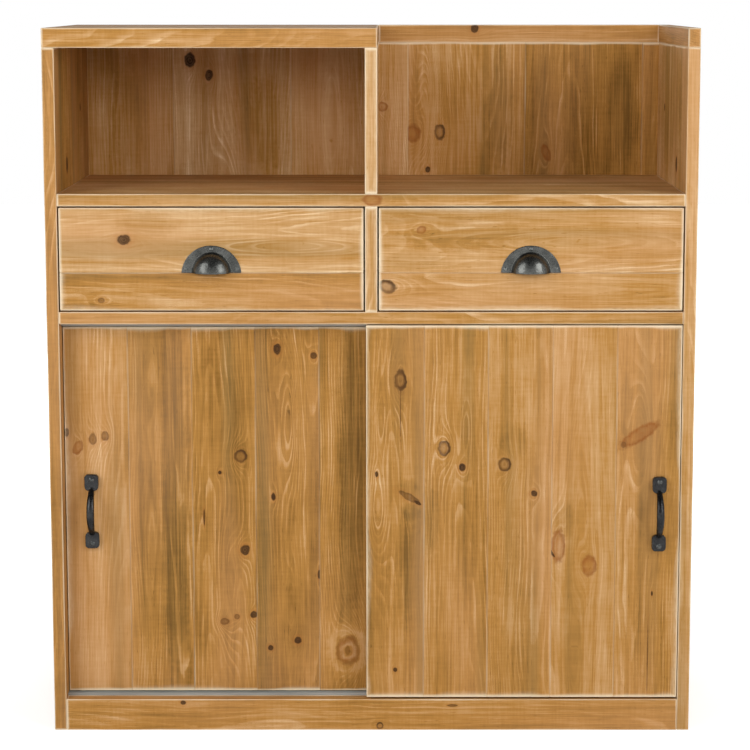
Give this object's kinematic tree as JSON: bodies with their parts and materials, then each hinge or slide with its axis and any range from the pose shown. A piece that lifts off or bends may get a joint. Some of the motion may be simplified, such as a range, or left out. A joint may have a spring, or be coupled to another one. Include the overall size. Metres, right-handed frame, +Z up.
{
  "type": "drinks cabinet",
  "caption": "Pine drinks cabinet with open upper compartments, drawers on wooden runners with cup pulls, and bypass sliding doors on aluminium tracks.",
  "frame": {"origin": "on the floor, in the middle of the object's box with the pulls counted in", "axes": "+X to the right seen from the front, front towards -Y, +Z up"},
  "size_m": [1, 0.429, 1.1],
  "materials": {
    "pine_carcass": "stained and waxed pine with light worn edges",
    "pine_drawer": "stained and waxed pine",
    "pine_door": "stained and waxed pine staves",
    "pine_back": "stained pine boards",
    "pine_inner": "plain sanded pine",
    "iron": "dark waxed iron",
    "aluminium": "satin extrusion",
    "steel": "zinc plated",
    "nylon": "off-white nylon"
  },
  "bodies": {
    "carcass": {"left_side": "pine_carcass", "right_side": "pine_carcass", "top_board": "pine_carcass", "right_side_cap": "pine_carcass", "back_cap_rail": "pine_back", "upper_divider": "pine_carcass", "middle_shelf": "pine_carcass", "drawer_divider": "pine_carcass", "lower_shelf": "pine_carcass", "bottom_board": "pine_carcass", "plinth": "pine_carcass", "back_boards": "pine_back", "back_screws": "steel", "dowels": "pine_inner", "inner_shelf": "pine_inner", "shelf_pins": "steel", "upper_track": "aluminium", "lower_track": "aluminium", "track_screws": "steel", "left_drawer_outer_runner": "pine_inner", "left_drawer_middle_runner": "pine_inner", "right_drawer_outer_runner": "pine_inner", "right_drawer_middle_runner": "pine_inner"},
    "left_drawer": {"left_drawer_front": "pine_drawer", "left_drawer_left_side": "pine_inner", "left_drawer_right_side": "pine_inner", "left_drawer_back": "pine_inner", "left_drawer_floor": "pine_inner", "left_drawer_cup_pull": "iron", "left_drawer_pull_screws": "iron"},
    "right_drawer": {"right_drawer_front": "pine_drawer", "right_drawer_left_side": "pine_inner", "right_drawer_right_side": "pine_inner", "right_drawer_back": "pine_inner", "right_drawer_floor": "pine_inner", "right_drawer_cup_pull": "iron", "right_drawer_pull_screws": "iron"},
    "left_door": {"left_door_panel": "pine_door", "left_door_handle": "iron", "left_door_handle_screws": "iron", "left_door_roller_brackets": "steel", "left_door_top_guides": "nylon"},
    "right_door": {"right_door_panel": "pine_door", "right_door_handle": "iron", "right_door_handle_screws": "iron", "right_door_roller_brackets": "steel", "right_door_top_guides": "nylon"},
    "left_door_left_wheel": {"left_door_left_wheel": "nylon"},
    "left_door_right_wheel": {"left_door_right_wheel": "nylon"},
    "right_door_left_wheel": {"right_door_left_wheel": "nylon"},
    "right_door_right_wheel": {"right_door_right_wheel": "nylon"}
  },
  "joints": [
    {"name": "left_drawer_slide", "type": "slide", "parent": "carcass", "child": "left_drawer", "axis": [0, -1, 0], "range_m": [0, 0.26]},
    {"name": "right_drawer_slide", "type": "slide", "parent": "carcass", "child": "right_drawer", "axis": [0, -1, 0], "range_m": [0, 0.26]},
    {"name": "left_door_slide", "type": "slide", "parent": "carcass", "child": "left_door", "axis": [1, 0, 0], "range_m": [0, 0.205]},
    {"name": "right_door_slide", "type": "slide", "parent": "carcass", "child": "right_door", "axis": [-1, 0, 0], "range_m": [0, 0.205]},
    {"name": "left_door_left_wheel_roll", "type": "hinge", "parent": "left_door", "child": "left_door_left_wheel", "pos_m": [-0.4198, -0.1295, 0.0618], "axis": [0, 1, 0], "range_deg": [0, 1180]},
    {"name": "left_door_right_wheel_roll", "type": "hinge", "parent": "left_door", "child": "left_door_right_wheel", "pos_m": [-0.052, -0.1295, 0.0618], "axis": [0, 1, 0], "range_deg": [0, 1180]},
    {"name": "right_door_left_wheel_roll", "type": "hinge", "parent": "right_door", "child": "right_door_left_wheel", "pos_m": [0.052, -0.1595, 0.0618], "axis": [0, -1, 0], "range_deg": [0, 1180]},
    {"name": "right_door_right_wheel_roll", "type": "hinge", "parent": "right_door", "child": "right_door_right_wheel", "pos_m": [0.4198, -0.1595, 0.0618], "axis": [0, -1, 0], "range_deg": [0, 1180]}
  ],
  "couplings": [
    {"joint": "left_door_left_wheel_roll", "follows": "left_door_slide", "rad_per_m": 100},
    {"joint": "left_door_right_wheel_roll", "follows": "left_door_slide", "rad_per_m": 100},
    {"joint": "right_door_left_wheel_roll", "follows": "right_door_slide", "rad_per_m": 100},
    {"joint": "right_door_right_wheel_roll", "follows": "right_door_slide", "rad_per_m": 100}
  ]
}
